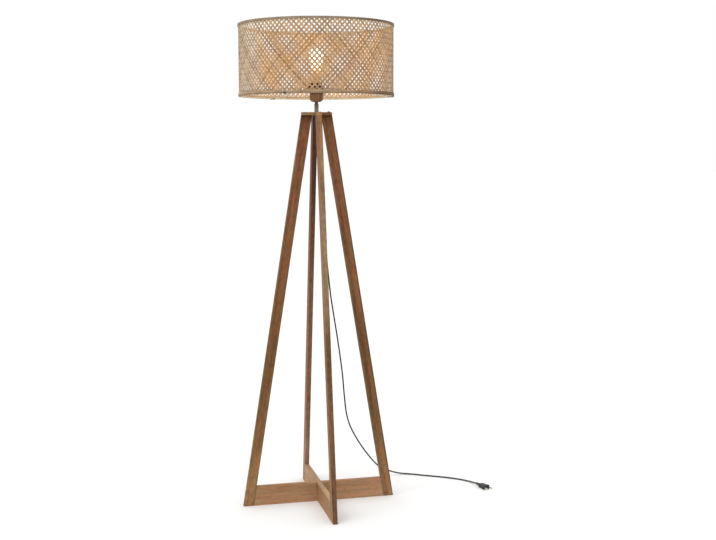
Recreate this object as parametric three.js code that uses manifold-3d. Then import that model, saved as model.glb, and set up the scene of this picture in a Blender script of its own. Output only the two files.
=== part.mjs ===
// Floor lamp: two crossed A-frames of flat bamboo boards, a short stem, a lampholder with a bulb,
// and a woven bamboo drum shade held by a three-armed wire spider.
// Millimetres, +Z up, origin on the floor under the lamp's axis.
// One frame lies along X (left and right), the other along Y (front at -Y, back at +Y).

import * as THREE from 'three';
import { mergeVertices } from 'three/addons/utils/BufferGeometryUtils.js';
import Module from 'manifold-3d';

const wasm = await Module();
wasm.setup();

// Clearances shared by all pieces
const fit_gap = 0.3;                 // between a piece and the hole or piece that holds it
const overrun = 5;                   // how far a cutting tool runs past what it cuts
const edge_ease = 1;                 // eased edges of the boards

// Stand
const foot_span = 510;               // outer edge to outer edge of a frame's legs, on the floor
const top_span = 100;                // the same at the legs' upper ends
const stand_height = 1280;           // floor to the legs' upper ends
const leg_width = 33;
const board_thickness = 15.5;        // legs and rails
const rail_height = 65;
const bar_width = 16;
const bar_thickness = 10;

// Screws through the bars into the legs
const screw_inset = 10;              // from the bar's end to the screw's axis
const screw_length = 40;
const screw_radius = 2;
const flush_head_radius = 4;
const flush_head_depth = 2.2;
const raised_head_radius = 5;
const raised_head_height = 3;

// Dowels between the rails and the legs
const dowel_radius = 4;
const dowel_length = 34;
const dowel_height_shares = [0.27, 0.73];   // of the rail's height

// Stem
const rod_radius = 5;
const rod_bore_radius = 3.6;
const rod_below_bars = 18;
const rod_in_holder = 12;            // above the sleeve and the neck
const neck_length = 5;               // bare rod between the sleeve and the lampholder
const sleeve_radius = 7;
const sleeve_length = 27;
const washer_radius = 8;
const washer_thickness = 1.5;
const nut_across_flats = 14;
const nut_thickness = 5;
const bush_radius = 7.5;
const bush_tip_radius = 4.2;
const bush_length = 32;
const bush_grip = 8;                 // length of rod inside the bush

// Lampholder
const holder_radius = 22;
const holder_wall = 2;
const dome_height = 12;
const dome_floor_radius = 8;
const cap_height = 26;
const spigot_length = 6;
const shell_step_height = 10;        // plain part of the shell below the thread
const shell_height = 37;
const thread_radius = 19.5;
const insert_height = 14;
const insert_seat_height = 36;       // insert's upper face above the lampholder's underside
const insert_bore_radius = 5.5;
const lock_nut_thickness = 4;
const contact_width = 6;
const contact_length = 16;
const contact_sheet = 0.6;
const contact_spring = 1.5;          // how far the leaf's middle stands above its ends
const socket_radius = 13.7;
const socket_sheet = 0.5;
const socket_height = 25;
const socket_flange = 2.2;
const terminal_place = 9.5;          // from the axis
const terminal_radius = 1.5;
const terminal_head_radius = 2.6;
const terminal_head_height = 1.6;
const terminal_length = 8;
const lead_radius = 0.9;

// Rings that clamp the shade on the lampholder
const ring_radius = 27;
const ring_flute = 0.8;
const ring_flutes = 14;
const lower_ring_height = 7;
const upper_ring_height = 7;

// Shade
const shade_radius = 252;
const shade_height = 228;
const shade_rise = 18;               // shade's lower edge above the lampholder's underside
const hoop_thickness = 3;
const lower_hoop_height = 10.5;
const upper_hoop_height = 7.5;
const wall_thickness = 1.8;
const wall_set_in = 1;               // woven wall's edges behind the hoops' edges
const wall_columns = 30;             // openings round the drum in one level
const wall_levels = 7;               // levels of openings
const gap_share = 0.5;               // open part of the strips' pitch
const wire_radius = 1.25;
const wire_place = 1.6;              // wire ring's centre from the hoop's free edge

// Clips that hold the spider's arms to the lower hoops: a foot under the arm's end that turns up outside
const clip_width = 6.5;
const clip_height = 4.5;               // its upright outside the hoop
const clip_sheet = 1.2;
const clip_ease = 0.3;
const clip_under_arm = 6;

// Spider
const spider_ring_radius = 33;
const spider_ring_thickness = 1.5;
const spider_wire_radius = 1.5;
const spider_first_angle = -4;       // degrees from +X
const spider_arms = 3;
const spider_bend_share = 0.82;      // where the arm turns down to the wire ring

// Bulb
const glass_radius = 24;
const glass_wall = 1;
const waist_power = 1.4;             // above 1, the neck stays slim for longer
const glass_in_cap = 8;              // length of the glass neck inside the cap
const bulb_length = 134;
const cap_radius = 13.1;
const cap_length = 22;
const button_radius = 4.6;
const button_height = 1.4;
const insulator_height = 3.4;
const mount_radius = 4;
const mount_flare_height = 2;
const mount_length = 70;
const filament_radius = 1;
const filament_reach = 13;
const filament_rise = 13;

// Flex and plug
const flex_radius = 2.5;
const flex_steps = 80;
const flex_lift = 0.2;               // between the lying flex and the floor
const plug_length = 35;
const plug_width = 26;
const plug_thickness = 14;
const plug_neck_length = 22;
const plug_neck_radius = 3.6;
const plug_neck_base_radius = 6.2;
const plug_ease = 2;
const plug_waist_share = 0.76;       // plug's width at its neck end
const pin_radius = 2;
const pin_length = 19;
const pin_spacing = 19;
const plug_angle = -72;              // degrees from +X, where the plug points

// The flex's route: it hangs from under the bars, swings out behind the lamp, and lies on the floor.
// The last point is where the plug's neck starts.
const flex_route = [
  [3.3, 3.5, 1178],
  [13.7, 14.7, 1051],
  [26.6, 28.6, 924],
  [41.2, 44.3, 797],
  [56.2, 60.0, 684],
  [71.3, 75.0, 603],
  [84.5, 87.4, 534],
  [96.5, 98.5, 465],
  [106.6, 107.8, 398],
  [113.6, 114.2, 330],
  [122.6, 122.0, 264],
  [136.5, 133.5, 219],
  [158.5, 151.0, 176],
  [183.6, 168.2, 136],
  [210.0, 185.5, 99],
  [238.0, 201.0, 64],
  [269.0, 213.5, 34],
  [302.0, 220.0, 17.5],
  [338.0, 219.5, 6.5],
  [379.5, 208.5, 2.7],
  [419.0, 183.0, 2.7],
  [459.5, 158.0, 2.7],
  [498.0, 131.5, 2.7],
  [530.0, 104.0, 2.7],
  [555.5, 67.5, 3.9],
  [567.5, 30.5, 7],
];

// Facets round each kind of piece
const drum_facets = 60;
const wire_facets = 30;
const round_facets = 20;
const small_facets = 12;

// Heights worked out from the sizes above
const bars_top = stand_height + bar_thickness;
const sleeve_top = bars_top + sleeve_length;
const holder_bottom = sleeve_top + neck_length;
const rod_bottom = stand_height - rod_below_bars;
const rod_top = holder_bottom + rod_in_holder;
const bush_top = rod_bottom + bush_grip;
const flex_exit = bush_top - bush_length;
const cap_top = holder_bottom + cap_height;
const shell_bottom = cap_top + fit_gap;
const shell_step = shell_bottom + shell_step_height;
const shell_top = shell_bottom + shell_height;
const insert_top = holder_bottom + insert_seat_height;
const insert_bottom = insert_top - insert_height;
const contact_top = insert_top + contact_spring + contact_sheet;
const bulb_bottom = contact_top + fit_gap;
const spider_bottom = shell_step + lower_ring_height;
const spider_top = spider_bottom + spider_ring_thickness;
const shade_bottom = holder_bottom + shade_rise;
const shade_top = shade_bottom + shade_height;

// Radii of the shade's rim, from the outside in
const hoop_inner = shade_radius - hoop_thickness;
const wall_outer = hoop_inner - fit_gap;
const wall_inner = wall_outer - wall_thickness;
const inner_hoop_outer = wall_inner - fit_gap;
const inner_hoop_inner = inner_hoop_outer - hoop_thickness;
const wire_ring_radius = inner_hoop_inner - fit_gap - wire_radius;

// A leg's lean, and its width and places measured level
const lean = Math.atan2((foot_span - top_span) / 2, stand_height);
const leg_level_width = leg_width / Math.cos(lean);

const group = new THREE.Group();

// Colours, roughness and metalness of the materials
const finishes = {
  leg_bamboo: { color: 0x86603f, roughness: 0.5, metalness: 0 },
  rail_bamboo: { color: 0x9a7350, roughness: 0.5, metalness: 0 },
  split_bamboo: { color: 0xc39d70, roughness: 0.6, metalness: 0 },
  rim_bamboo: { color: 0xa88a64, roughness: 0.6, metalness: 0 },
  beech: { color: 0xcaa877, roughness: 0.7, metalness: 0 },
  brown_plastic: { color: 0x5d4136, roughness: 0.4, metalness: 0 },
  brown_metal: { color: 0x6b5346, roughness: 0.35, metalness: 0.6 },
  steel: { color: 0x9c9c98, roughness: 0.35, metalness: 0.9 },
  dark_steel: { color: 0x3b332e, roughness: 0.45, metalness: 0.7 },
  brass: { color: 0xb59a55, roughness: 0.3, metalness: 0.9 },
  ceramic: { color: 0xe6e1d6, roughness: 0.5, metalness: 0 },
  opal_glass: { color: 0xfff4dc, roughness: 0.3, metalness: 0 },
  clear_glass: { color: 0xdfe6e6, roughness: 0.05, metalness: 0 },
  black_glass: { color: 0x191919, roughness: 0.2, metalness: 0 },
  filament: { color: 0xffd9a0, roughness: 0.6, metalness: 0 },
  black_flex: { color: 0x1d1c1b, roughness: 0.55, metalness: 0 },
};

function add(name, geometry, finish, parent = group) {
  const mesh = new THREE.Mesh(geometry, new THREE.MeshStandardMaterial(finishes[finish]));
  mesh.name = name;
  parent.add(mesh);
  return mesh;
}

// A closed geometry as a solid that can be cut and joined: shared corners merged, slivers left out
function solid(geometry) {
  const bare = geometry.clone();
  bare.deleteAttribute('normal');
  bare.deleteAttribute('uv');
  const merged = mergeVertices(bare);
  const index = merged.index.array;
  const kept = [];
  for (let i = 0; i < index.length; i += 3) {
    const [a, b, c] = [index[i], index[i + 1], index[i + 2]];
    if (a !== b && b !== c && c !== a) kept.push(a, b, c);
  }
  const vertProperties = new Float32Array(merged.attributes.position.array);
  return new wasm.Manifold(new wasm.Mesh({ numProp: 3, vertProperties, triVerts: new Uint32Array(kept) }));
}

function surface(body) {
  const mesh = body.getMesh();
  const geometry = new THREE.BufferGeometry();
  geometry.setAttribute('position', new THREE.Float32BufferAttribute(mesh.vertProperties, 3));
  geometry.setIndex(Array.from(mesh.triVerts));
  return geometry;
}

function cut(geometry, tools) {
  let body = solid(geometry);
  for (const tool of tools) body = body.subtract(solid(tool));
  return surface(body);
}

// A profile of [radius, height] points turned round the Z axis, listed from the bottom up on its outer side
function turned(profile, facets) {
  const points = profile.map(([radius, height]) => new THREE.Vector2(radius, height));
  return new THREE.LatheGeometry(points, facets).rotateX(Math.PI / 2);
}

// A ring of rectangular section
function ring(inner, outer, bottom, top, facets) {
  return turned([[inner, bottom], [outer, bottom], [outer, top], [inner, top], [inner, bottom]], facets);
}

// A plain cylinder standing on a height
function disc(radius, bottom, top, facets) {
  return turned([[0, bottom], [radius, bottom], [radius, top], [0, top]], facets);
}

// An outline of [x, z] points extruded to a board centred on the plane y = 0, with eased edges
function board(outline, thickness, ease) {
  const shape = new THREE.Shape(outline.map(([x, z]) => new THREE.Vector2(x, z)));
  const geometry = new THREE.ExtrudeGeometry(shape, {
    depth: thickness - 2 * ease,
    bevelEnabled: true,
    bevelThickness: ease,
    bevelSize: ease,
    bevelOffset: -ease,
    bevelSegments: 1,
  });
  return geometry.translate(0, 0, ease - thickness / 2).rotateX(Math.PI / 2);
}

// A round wire along a curve
function wire(curve, radius, steps, sides) {
  const section = new THREE.Shape();
  const corners = Array.from({ length: sides }, (_, k) => (2 * Math.PI * k) / sides);
  section.setFromPoints(corners.map((t) => new THREE.Vector2(radius * Math.cos(t), radius * Math.sin(t))));
  return new THREE.ExtrudeGeometry(section, { steps, extrudePath: curve });
}

// A right-hand turn of the front-back frame from the left-right one
function to_front_back(geometry) {
  return geometry.rotateZ(-Math.PI / 2);
}

// Dowels: their axes stand square to the leg's inner edge, half their length in the rail
function dowel_frame(share) {
  const height = share * rail_height;
  const edge = foot_span / 2 - leg_level_width - height * Math.tan(lean);
  const place = new THREE.Matrix4().makeTranslation(edge, 0, height);
  return place.multiply(new THREE.Matrix4().makeRotationY(Math.PI / 2 - lean));
}

function dowel(share, grow) {
  const half = dowel_length / 2 + grow;
  return disc(dowel_radius + grow, -half, half, small_facets).applyMatrix4(dowel_frame(share));
}

// Screws: the axis is vertical, the head lies in or on the bar's upper face
function flush_screw(grow) {
  const top = bars_top + (grow > 0 ? overrun : 0);
  const slope = (flush_head_radius - screw_radius) / flush_head_depth;
  return turned([
    [0, bars_top - screw_length - grow],
    [screw_radius + grow, bars_top - screw_length - grow],
    [screw_radius + grow, bars_top - flush_head_depth],
    [flush_head_radius + grow + slope * (top - bars_top), top],
    [0, top],
  ], small_facets);
}

function raised_screw() {
  const dome = [0.25, 0.5, 0.75].map((t) => {
    const turn = (t * Math.PI) / 2;
    return [raised_head_radius * Math.cos(turn), bars_top + raised_head_height * Math.sin(turn)];
  });
  return turned([
    [0, bars_top - screw_length],
    [screw_radius, bars_top - screw_length],
    [screw_radius, bars_top],
    [raised_head_radius, bars_top],
    ...dome,
    [0, bars_top + raised_head_height],
  ], small_facets);
}

function raised_screw_hole() {
  const bottom = bars_top - screw_length - fit_gap;
  return disc(screw_radius + fit_gap, bottom, bars_top + overrun, small_facets);
}

const screw_place = top_span / 2 - screw_inset;

// The leg that leans out along +X, with the holes for its dowels and its screw
function leg(screw_hole) {
  const foot = foot_span / 2;
  const head = top_span / 2;
  const outline = [
    [foot - leg_level_width, 0],
    [foot, 0],
    [head, stand_height],
    [head - leg_level_width, stand_height],
  ];
  const holes = dowel_height_shares.map((share) => dowel(share, fit_gap));
  return cut(board(outline, board_thickness, edge_ease), [...holes, screw_hole.translate(screw_place, 0, 0)]);
}

// A rail on edge between the legs of a frame, notched at the middle over or under the other rail
function rail(notched_from_above) {
  const foot = foot_span / 2 - leg_level_width - fit_gap;
  const head = foot - rail_height * Math.tan(lean);
  const notch = board_thickness / 2 + fit_gap;
  const middle = rail_height / 2;
  const bottom = notched_from_above ? [] : [[-notch, 0], [-notch, middle], [notch, middle], [notch, 0]];
  const top = notched_from_above
    ? [[notch, rail_height], [notch, middle], [-notch, middle], [-notch, rail_height]]
    : [];
  const outline = [[-foot, 0], ...bottom, [foot, 0], [head, rail_height], ...top, [-head, rail_height]];
  const right = dowel_height_shares.map((share) => dowel(share, fit_gap));
  const left = dowel_height_shares.map((share) => dowel(share, fit_gap).rotateZ(Math.PI));
  return cut(board(outline, board_thickness, edge_ease), [...right, ...left]);
}

// A bar across the legs' upper ends, halved at the middle and bored for the rod and the screws
function bar(notched_from_above, right_hole, left_hole) {
  const end = top_span / 2;
  const notch = bar_width / 2 + fit_gap;
  const middle = stand_height + bar_thickness / 2;
  const bottom = notched_from_above
    ? []
    : [[-notch, stand_height], [-notch, middle], [notch, middle], [notch, stand_height]];
  const top = notched_from_above
    ? [[notch, bars_top], [notch, middle], [-notch, middle], [-notch, bars_top]]
    : [];
  const outline = [
    [-end, stand_height],
    ...bottom,
    [end, stand_height],
    [end, bars_top],
    ...top,
    [-end, bars_top],
  ];
  const bore = disc(rod_radius + fit_gap, stand_height - overrun, bars_top + overrun, round_facets);
  right_hole.translate(screw_place, 0, 0);
  left_hole.translate(-screw_place, 0, 0);
  return cut(board(outline, bar_width, edge_ease), [bore, right_hole, left_hole]);
}

function build_stand() {
  add('leg_right', leg(raised_screw_hole()), 'leg_bamboo');
  add('leg_left', leg(flush_screw(fit_gap)).rotateZ(Math.PI), 'leg_bamboo');
  add('leg_front', to_front_back(leg(flush_screw(fit_gap))), 'leg_bamboo');
  add('leg_back', to_front_back(leg(flush_screw(fit_gap)).rotateZ(Math.PI)), 'leg_bamboo');
  add('rail_left_right', rail(true), 'rail_bamboo');
  add('rail_front_back', to_front_back(rail(false)), 'rail_bamboo');
  add('bar_left_right', bar(true, raised_screw_hole(), flush_screw(fit_gap)), 'rail_bamboo');
  add('bar_front_back', to_front_back(bar(false, flush_screw(fit_gap), flush_screw(fit_gap))), 'rail_bamboo');
  const sides = { right: 0, back: 90, left: 180, front: 270 };
  for (const [side, degrees] of Object.entries(sides)) {
    const turn = THREE.MathUtils.degToRad(degrees);
    const screw = side === 'right' ? raised_screw() : flush_screw(0);
    add(`bar_screw_${side}`, screw.translate(screw_place, 0, 0).rotateZ(turn), 'dark_steel');
    dowel_height_shares.forEach((share, k) => {
      const level = k === 0 ? 'lower' : 'upper';
      add(`dowel_${side}_${level}`, dowel(share, 0).rotateZ(turn), 'beech');
    });
  }
}

// A hexagon nut with a round bore
function nut(bottom, thickness) {
  const corner = nut_across_flats / 2 / Math.cos(Math.PI / 6);
  const bore = disc(rod_radius + fit_gap, bottom - overrun, bottom + thickness + overrun, round_facets);
  return cut(disc(corner, bottom, bottom + thickness, 6), [bore]);
}

function build_stem() {
  const bore = rod_radius + fit_gap;
  const washer_bottom = stand_height - washer_thickness;
  add('stem_sleeve', ring(bore, sleeve_radius, bars_top, sleeve_top, round_facets), 'brown_metal');
  add('threaded_rod', ring(rod_bore_radius, rod_radius, rod_bottom, rod_top, round_facets), 'dark_steel');
  add('stem_washer', ring(bore, washer_radius, washer_bottom, stand_height, round_facets), 'dark_steel');
  add('stem_nut', nut(washer_bottom - nut_thickness, nut_thickness), 'dark_steel');
  add('flex_bush', turned([
    [flex_radius + fit_gap, flex_exit],
    [bush_tip_radius, flex_exit],
    [bush_radius, rod_bottom],
    [bush_radius, bush_top],
    [bore, bush_top],
    [bore, rod_bottom - fit_gap],
    [flex_radius + fit_gap, rod_bottom - fit_gap],
    [flex_radius + fit_gap, flex_exit],
  ], round_facets), 'black_flex');
}

// The lampholder's domed cap: a quarter round from the flat round its hole up to the straight side
function holder_cap() {
  const arc = [0, 0.25, 0.5, 0.75, 1].map((t) => (t * Math.PI) / 2);
  const spread = holder_radius - dome_floor_radius;
  const outer = arc.map((t) => [
    dome_floor_radius + spread * Math.sin(t),
    holder_bottom + dome_height * (1 - Math.cos(t)),
  ]);
  const inner = arc.map((t) => [
    dome_floor_radius + (spread - holder_wall) * Math.sin(t),
    holder_bottom + dome_height - (dome_height - holder_wall) * Math.cos(t),
  ]).reverse();
  const bore = rod_radius + fit_gap;
  return turned([
    [bore, holder_bottom],
    ...outer,
    [holder_radius, cap_top],
    [holder_radius - holder_wall, cap_top],
    ...inner,
    [bore, holder_bottom + holder_wall],
    [bore, holder_bottom],
  ], round_facets);
}

function holder_shell() {
  const inside = thread_radius - holder_wall;
  const spigot = holder_radius - holder_wall - fit_gap;
  return turned([
    [inside, cap_top - spigot_length],
    [spigot, cap_top - spigot_length],
    [spigot, shell_bottom],
    [holder_radius, shell_bottom],
    [holder_radius, shell_step],
    [thread_radius, shell_step],
    [thread_radius, shell_top],
    [inside, shell_top],
    [inside, cap_top - spigot_length],
  ], round_facets);
}

// The insert: a disc with a bore, and holes for its two terminal screws
function holder_insert() {
  const outside = thread_radius - holder_wall - fit_gap;
  const hole_top = insert_bottom + terminal_length + fit_gap;
  const holes = [1, -1].map((side) => {
    const hole = disc(terminal_radius + fit_gap, insert_bottom - overrun, hole_top, small_facets);
    return hole.translate(side * terminal_place, 0, 0);
  });
  return cut(ring(insert_bore_radius, outside, insert_bottom, insert_top, round_facets), holes);
}

function terminal_screw(side) {
  const head = insert_bottom - terminal_head_height;
  return turned([
    [0, head],
    [terminal_head_radius, head],
    [terminal_head_radius, insert_bottom],
    [terminal_radius, insert_bottom],
    [terminal_radius, insert_bottom + terminal_length],
    [0, insert_bottom + terminal_length],
  ], small_facets).translate(side * terminal_place, 0, 0);
}

// A lead from the end of the flex to the underside of a terminal screw
function lead(side) {
  const end = insert_bottom - terminal_head_height - lead_radius;
  const points = [
    new THREE.Vector3(side * (lead_radius + fit_gap), 0, rod_top + fit_gap + lead_radius),
    new THREE.Vector3(side * terminal_place * 0.3, 0, rod_top + (end - rod_top) * 0.55),
    new THREE.Vector3(side * terminal_place * 0.75, 0, rod_top + (end - rod_top) * 0.7),
    new THREE.Vector3(side * terminal_place, 0, end),
  ];
  return wire(new THREE.CatmullRomCurve3(points), lead_radius, 6, 6);
}

// The centre contact: a leaf of sheet whose middle springs up to meet the bulb
function centre_contact() {
  const half = contact_length / 2;
  const top = insert_top + contact_spring;
  const upper = [
    [half, insert_top + contact_sheet],
    [half * 0.7, insert_top + contact_sheet],
    [half * 0.35, top + contact_sheet],
    [-half * 0.35, top + contact_sheet],
    [-half * 0.7, insert_top + contact_sheet],
    [-half, insert_top + contact_sheet],
  ];
  const lower = upper.map(([x, z]) => [x, z - contact_sheet]).reverse();
  const shape = new THREE.Shape([...lower, ...upper].map(([x, z]) => new THREE.Vector2(x, z)));
  const leaf = new THREE.ExtrudeGeometry(shape, { depth: contact_width, bevelEnabled: false });
  return leaf.translate(0, 0, -contact_width / 2).rotateX(Math.PI / 2);
}

function build_lampholder() {
  add('holder_cap', holder_cap(), 'brown_plastic');
  add('holder_lock_nut', nut(holder_bottom + holder_wall, lock_nut_thickness), 'steel');
  add('holder_shell', holder_shell(), 'brown_plastic');
  add('holder_insert', holder_insert(), 'ceramic');
  add('centre_contact', centre_contact(), 'brass');
  const outside = socket_radius + socket_sheet;
  add('screw_shell', turned([
    [socket_radius, insert_top],
    [outside + socket_flange, insert_top],
    [outside + socket_flange, insert_top + socket_sheet],
    [outside, insert_top + socket_sheet],
    [outside, insert_top + socket_height],
    [socket_radius, insert_top + socket_height],
    [socket_radius, insert_top],
  ], round_facets), 'brass');
  add('terminal_screw_live', terminal_screw(1), 'brass');
  add('terminal_screw_neutral', terminal_screw(-1), 'brass');
  add('lead_live', lead(1), 'black_flex');
  add('lead_neutral', lead(-1), 'black_flex');
  add('flex_in_stem', disc(flex_radius, flex_exit + fit_gap, rod_top, small_facets), 'black_flex');
}

// A threaded ring with a fluted rim
function fluted_ring(bottom, height) {
  const steps = ring_flutes * 4;
  const rim = Array.from({ length: steps }, (_, k) => {
    const turn = (2 * Math.PI * k) / steps;
    const radius = ring_radius - ring_flute * (0.5 + 0.5 * Math.cos(ring_flutes * turn));
    return new THREE.Vector2(radius * Math.cos(turn), radius * Math.sin(turn));
  });
  const blank = new THREE.ExtrudeGeometry(new THREE.Shape(rim), { depth: height, bevelEnabled: false });
  const bore = disc(thread_radius + fit_gap, -overrun, height + overrun, round_facets);
  return cut(blank, [bore]).translate(0, 0, bottom);
}

// The woven wall: strips run both ways round the drum on the diagonal, with diamond openings between them.
// Openings sit where a column and a level cross whose numbers add up to an even number.
function woven_wall() {
  const columns = 2 * wall_columns;
  const bottom = shade_bottom + wall_set_in;
  const top = shade_top - wall_set_in;
  const pitch = (top - bottom) / (wall_levels + 1);
  const step = (2 * Math.PI) / columns;
  const positions = [];
  const faces = [];
  const known = new Map();
  const layers = [wall_outer, wall_inner];

  // Corner of an opening, or a point of the wall's edge, in the outer layer; the inner one follows it
  function corner(kind, column, level) {
    const wrapped = ((column % columns) + columns) % columns;
    const key = `${kind} ${wrapped} ${level}`;
    if (!known.has(key)) {
      known.set(key, positions.length / 3);
      const aside = { left: -gap_share, right: gap_share }[kind] ?? 0;
      const above = { below: -gap_share, above: gap_share }[kind] ?? 0;
      const turn = (wrapped + aside) * step;
      for (const radius of layers) {
        positions.push(radius * Math.cos(turn), radius * Math.sin(turn), bottom + (level + above) * pitch);
      }
    }
    return known.get(key);
  }

  // A flat patch of both layers, its corners listed counter-clockwise as seen from outside
  function patch(...corners) {
    for (let k = 1; k < corners.length - 1; k += 1) {
      faces.push(corners[0], corners[k], corners[k + 1]);
      faces.push(corners[0] + 1, corners[k + 1] + 1, corners[k] + 1);
    }
  }

  // A wall from the outer layer to the inner one along an edge, with the material on the edge's left
  function side(a, b) {
    faces.push(a, a + 1, b + 1, a, b + 1, b);
  }

  for (let level = 1; level <= wall_levels; level += 1) {
    for (let column = 0; column < columns; column += 1) {
      if ((column + level) % 2 !== 0) continue;
      const left = corner('left', column, level);
      const right = corner('right', column, level);
      const above = corner('above', column, level);
      const below = corner('below', column, level);
      const next_left = corner('left', column + 2, level);
      side(left, above);
      side(above, right);
      side(right, below);
      side(below, left);
      const lower_node = level === 1 ? corner('edge', column + 1, 0) : corner('above', column + 1, level - 1);
      const upper_node = level === wall_levels
        ? corner('edge', column + 1, wall_levels + 1)
        : corner('below', column + 1, level + 1);
      patch(right, lower_node, next_left, upper_node);
      if (level < wall_levels) {
        patch(right, upper_node, corner('left', column + 1, level + 1), above);
        patch(above, corner('right', column - 1, level + 1), corner('below', column - 1, level + 1), left);
      }
      if (level === 1) {
        patch(corner('edge', column - 1, 0), corner('edge', column, 0), below, left);
        patch(corner('edge', column, 0), lower_node, right, below);
        side(corner('edge', column - 1, 0), corner('edge', column, 0));
        side(corner('edge', column, 0), lower_node);
      }
      if (level === wall_levels) {
        const rim = wall_levels + 1;
        patch(corner('edge', column, rim), corner('edge', column - 1, rim), left, above);
        patch(upper_node, corner('edge', column, rim), above, right);
        side(corner('edge', column, rim), corner('edge', column - 1, rim));
        side(upper_node, corner('edge', column, rim));
      }
    }
  }
  const geometry = new THREE.BufferGeometry();
  geometry.setAttribute('position', new THREE.Float32BufferAttribute(positions, 3));
  geometry.setIndex(faces);
  return geometry;
}

// A ring of round wire
function wire_ring(height) {
  const sides = 6;
  const section = Array.from({ length: sides + 1 }, (_, k) => {
    const turn = (2 * Math.PI * (k % sides)) / sides;
    return [wire_ring_radius + wire_radius * Math.cos(turn), height + wire_radius * Math.sin(turn)];
  });
  return turned(section, wire_facets);
}

// Where the spider's arms end, just inside the flats of the wire ring
const spider_reach = (wire_ring_radius - wire_radius) * Math.cos(Math.PI / wire_facets) - fit_gap;

function spider_turn(k) {
  return THREE.MathUtils.degToRad(spider_first_angle + (360 / spider_arms) * k);
}

// The spider: a flat ring round the lampholder's thread and arms of round wire out to the lower wire ring
function spider() {
  const start = ring_radius + 2 * fit_gap;
  const inner_height = (spider_bottom + spider_top) / 2;
  const outer_height = shade_bottom + wire_place;
  const bend = start + (spider_reach - start) * spider_bend_share;
  const bore = thread_radius + fit_gap;
  let body = solid(ring(bore, spider_ring_radius, spider_bottom, spider_top, round_facets));
  for (let k = 0; k < spider_arms; k += 1) {
    const turn = spider_turn(k);
    const points = [
      [start, inner_height],
      [start + (bend - start) * 0.5, outer_height + (inner_height - outer_height) * 0.7],
      [bend, outer_height + (inner_height - outer_height) * 0.2],
      [spider_reach, outer_height],
    ].map(([radius, height]) => new THREE.Vector3(radius * Math.cos(turn), radius * Math.sin(turn), height));
    const arm = wire(new THREE.CatmullRomCurve3(points), spider_wire_radius, 10, 6);
    body = body.add(solid(arm));
  }
  return surface(body);
}

// A clip at the end of one of the spider's arms
function rim_clip(k) {
  const inner = spider_reach - clip_under_arm;
  const outer = shade_radius + fit_gap;
  const floor = shade_bottom - fit_gap;
  const outline = [
    [inner, floor - clip_sheet],
    [outer + clip_sheet, floor - clip_sheet],
    [outer + clip_sheet, floor + clip_height],
    [outer, floor + clip_height],
    [outer, floor],
    [inner, floor],
  ];
  return surface(solid(board(outline, clip_width, clip_ease))).rotateZ(spider_turn(k));
}

function build_shade() {
  const lower_top = shade_bottom + lower_hoop_height;
  const upper_bottom = shade_top - upper_hoop_height;
  add('shade_weave', woven_wall(), 'split_bamboo');
  add('outer_hoop_lower', ring(hoop_inner, shade_radius, shade_bottom, lower_top, drum_facets), 'rim_bamboo');
  add('outer_hoop_upper', ring(hoop_inner, shade_radius, upper_bottom, shade_top, drum_facets), 'rim_bamboo');
  add('inner_hoop_lower', ring(inner_hoop_inner, inner_hoop_outer, shade_bottom, lower_top, drum_facets),
    'rim_bamboo');
  add('inner_hoop_upper', ring(inner_hoop_inner, inner_hoop_outer, upper_bottom, shade_top, drum_facets),
    'rim_bamboo');
  add('wire_ring_lower', wire_ring(shade_bottom + wire_place), 'brown_metal');
  add('wire_ring_upper', wire_ring(shade_top - wire_place), 'brown_metal');
  add('spider', spider(), 'steel');
  ['right', 'back', 'front'].forEach((place, k) => add(`rim_clip_${place}`, rim_clip(k), 'dark_steel'));
  add('shade_ring_lower', fluted_ring(shell_step, lower_ring_height), 'brown_plastic');
  add('shade_ring_upper', fluted_ring(spider_top, upper_ring_height), 'brown_plastic');
}

// The bulb's glass: a ball that runs in a hollow curve down to its neck, open at the neck
function bulb_glass(neck_bottom) {
  const centre = bulb_bottom + bulb_length - glass_radius;
  const neck_radius = cap_radius - socket_sheet - fit_gap;
  const ball_start = THREE.MathUtils.degToRad(-30);
  const ball_bottom = centre + glass_radius * Math.sin(ball_start);
  const waist = [0, 0.15, 0.3, 0.45, 0.6, 0.8].map((t) => {
    const rise = t ** waist_power;
    const swell = rise * rise * (3 - 2 * rise);
    const widest = glass_radius * Math.cos(ball_start);
    return [neck_radius + (widest - neck_radius) * swell, neck_bottom + (ball_bottom - neck_bottom) * t];
  });
  const ball = [-30, -12, 6, 24, 42, 60, 75].map((degrees) => {
    const turn = THREE.MathUtils.degToRad(degrees);
    return [glass_radius * Math.cos(turn), centre + glass_radius * Math.sin(turn)];
  });
  const outer = [[neck_radius, neck_bottom - glass_in_cap], ...waist, ...ball];
  const shrink = (glass_radius - glass_wall) / glass_radius;
  const inner = ball.map(([radius, height]) => {
    return [radius * shrink, centre + (height - centre) * shrink];
  }).reverse();
  const throat = outer.slice(0, waist.length + 1).map(([radius, height]) => [radius - glass_wall, height]).reverse();
  return turned([
    ...outer,
    [0, centre + glass_radius],
    [0, centre + glass_radius - glass_wall],
    ...inner,
    ...throat,
    outer[0],
  ], round_facets);
}

// The glass mount: a flared foot inside the neck and a slim stem that carries the filament
function bulb_mount(bottom) {
  const foot = cap_radius - socket_sheet - glass_wall - 2 * fit_gap;
  return turned([
    [0, bottom],
    [foot, bottom],
    [foot, bottom + mount_flare_height],
    [mount_radius, bottom + 2 * mount_flare_height],
    [mount_radius, bottom + mount_length],
    [0, bottom + mount_length],
  ], small_facets);
}

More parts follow.
